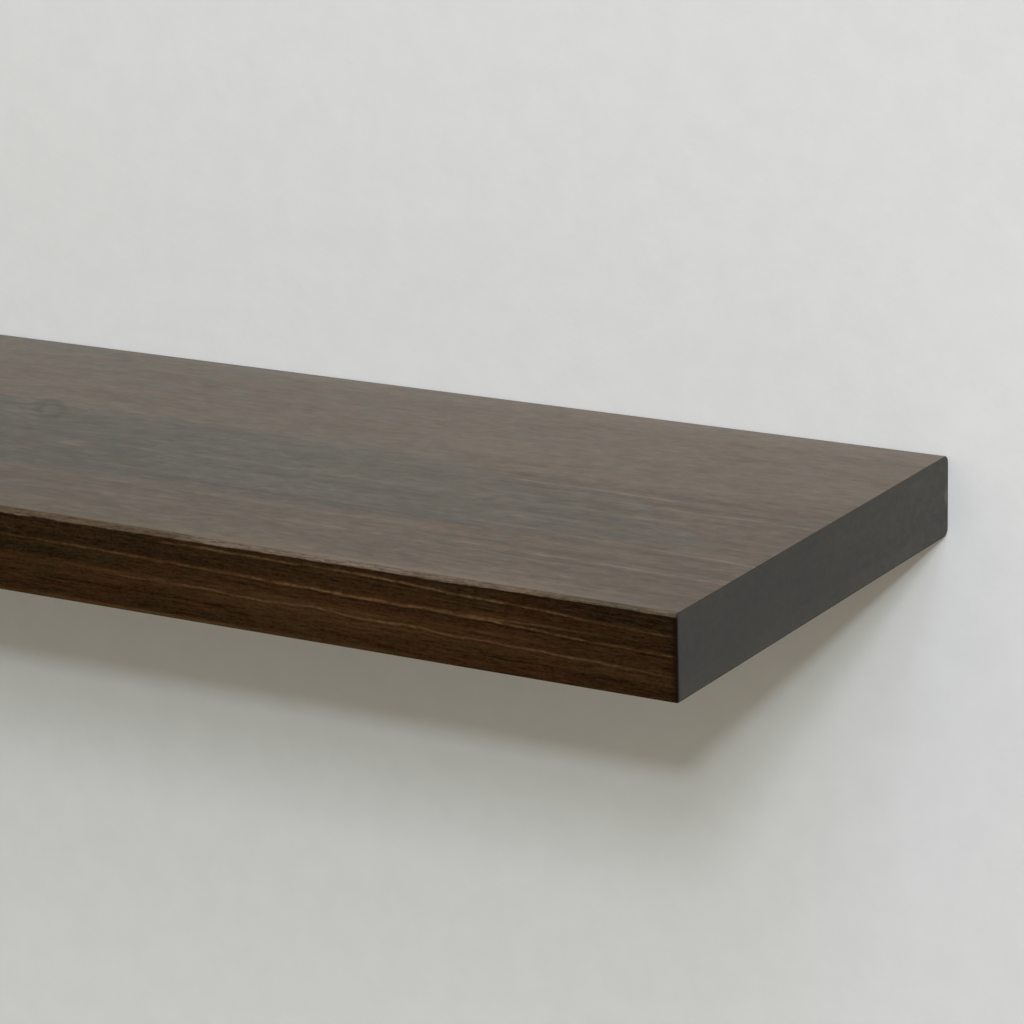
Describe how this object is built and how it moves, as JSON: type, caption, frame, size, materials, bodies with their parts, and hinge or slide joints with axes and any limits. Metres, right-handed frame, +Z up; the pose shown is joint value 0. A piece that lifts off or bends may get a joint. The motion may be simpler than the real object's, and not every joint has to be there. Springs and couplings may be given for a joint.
{
  "type": "floating wall shelf",
  "caption": "Solid plank wall shelf, dark stained, on a concealed steel bar and rod bracket, locked from below by set screws.",
  "frame": {"origin": "centre of the bracket bar's back face, on the wall plane, half way through the plank's thickness and half way along the shelf", "axes": "+X along the shelf to the right as seen from the room, +Y into the wall, so the front of the shelf faces -Y, +Z up"},
  "size_m": [0.9144, 0.254, 0.0382],
  "materials": {
    "stained_softwood": "satin",
    "bar_black_coat": "satin",
    "rod_steel": "satin",
    "screw_black_oxide": "satin",
    "insert_brass": "satin"
  },
  "bodies": {
    "bracket": {"bracket_bar": "bar_black_coat", "support_rod_1": "rod_steel", "support_rod_2": "rod_steel", "support_rod_3": "rod_steel", "support_rod_4": "rod_steel", "rod_screw_1": "screw_black_oxide", "rod_screw_2": "screw_black_oxide", "rod_screw_3": "screw_black_oxide", "rod_screw_4": "screw_black_oxide"},
    "shelf": {"shelf_board": "stained_softwood", "lock_insert_1": "insert_brass", "lock_insert_2": "insert_brass"},
    "lock_1": {"lock_screw_1": "screw_black_oxide"},
    "lock_2": {"lock_screw_2": "screw_black_oxide"}
  },
  "joints": [
    {"name": "shelf_slide", "type": "slide", "parent": "bracket", "child": "shelf", "axis": [0, -1, 0], "range_m": [0, 0.2]},
    {"name": "lock_1_turn", "type": "hinge", "parent": "shelf", "child": "lock_1", "pos_m": [-0.3429, -0.0635, -0.01165], "axis": [0, 0, -1], "range_deg": [0, 864]},
    {"name": "lock_2_turn", "type": "hinge", "parent": "shelf", "child": "lock_2", "pos_m": [0.3429, -0.0635, -0.01165], "axis": [0, 0, -1], "range_deg": [0, 864]}
  ]
}
